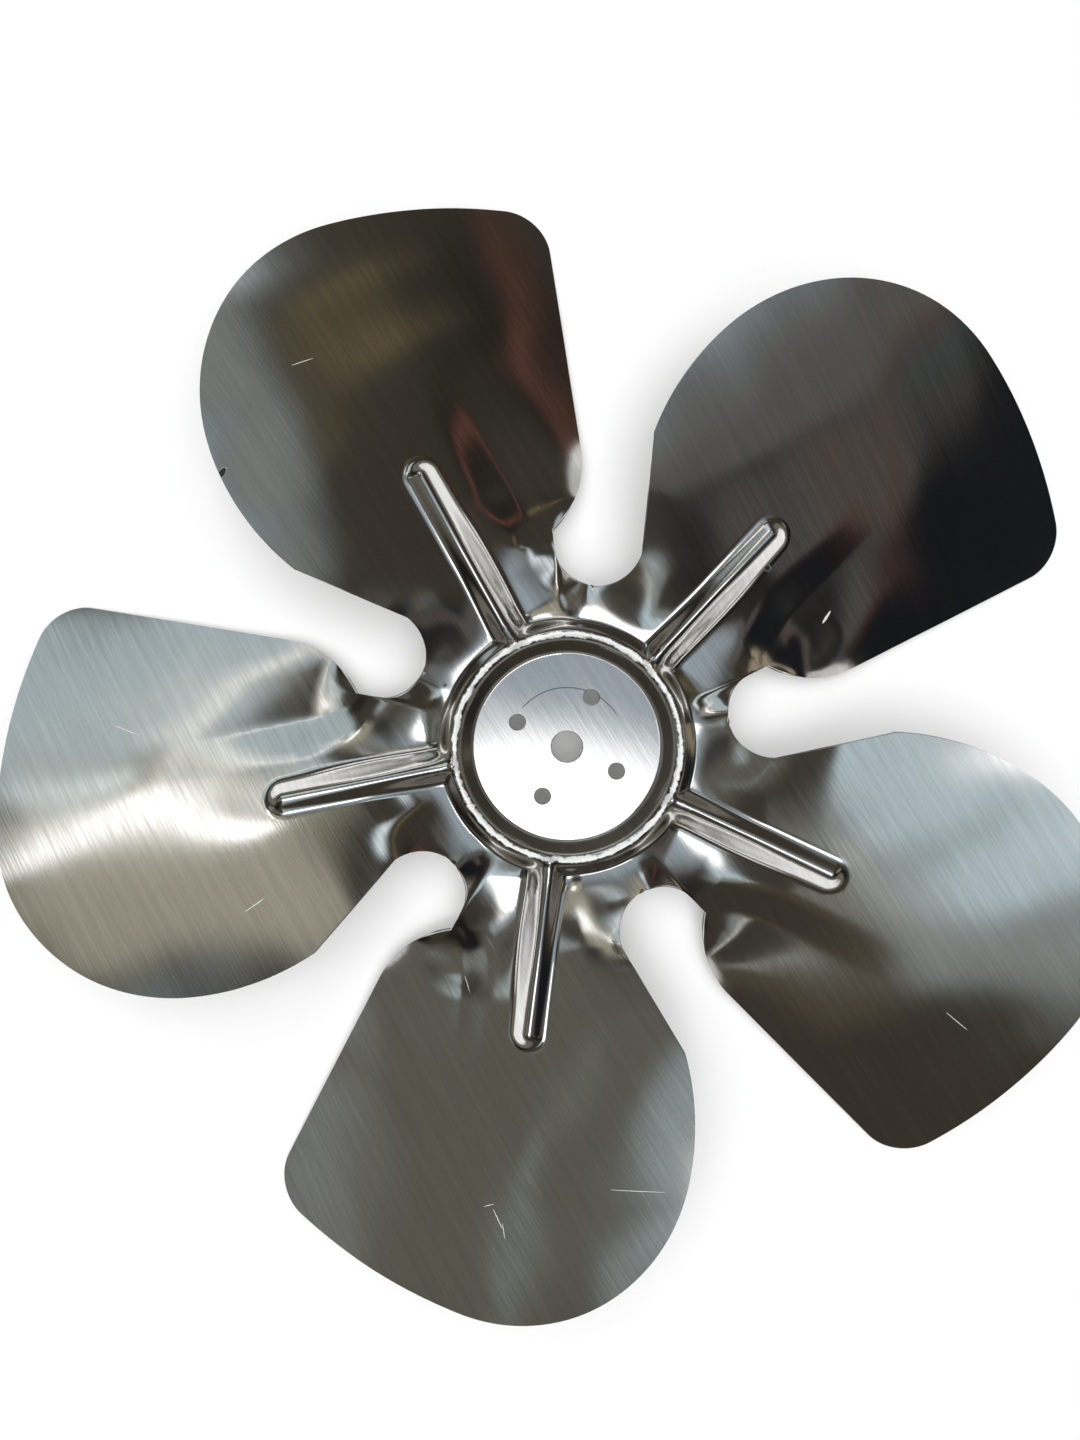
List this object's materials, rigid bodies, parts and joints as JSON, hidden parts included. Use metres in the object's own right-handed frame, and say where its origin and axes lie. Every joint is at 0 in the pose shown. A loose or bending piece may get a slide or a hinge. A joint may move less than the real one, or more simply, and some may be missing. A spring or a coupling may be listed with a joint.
{
  "type": "axial fan impeller",
  "caption": "Axial fan impeller pressed from one aluminium sheet: pitched ribbed blades around a ringed hub disc drilled for a shaft and fixing screws.",
  "frame": {"origin": "centre of the shaft bore, on the underside of the hub disc", "axes": "+Z along the bore axis toward the side of the raised beads, +X and +Y in the plane of the hub disc"},
  "size_m": [0.2435, 0.2517, 0.032],
  "materials": {
    "sheet": "bare mill-finish sheet with fine straight grain, scuffed on the raised beads"
  },
  "bodies": {
    "root": {"impeller": "sheet"}
  },
  "joints": []
}
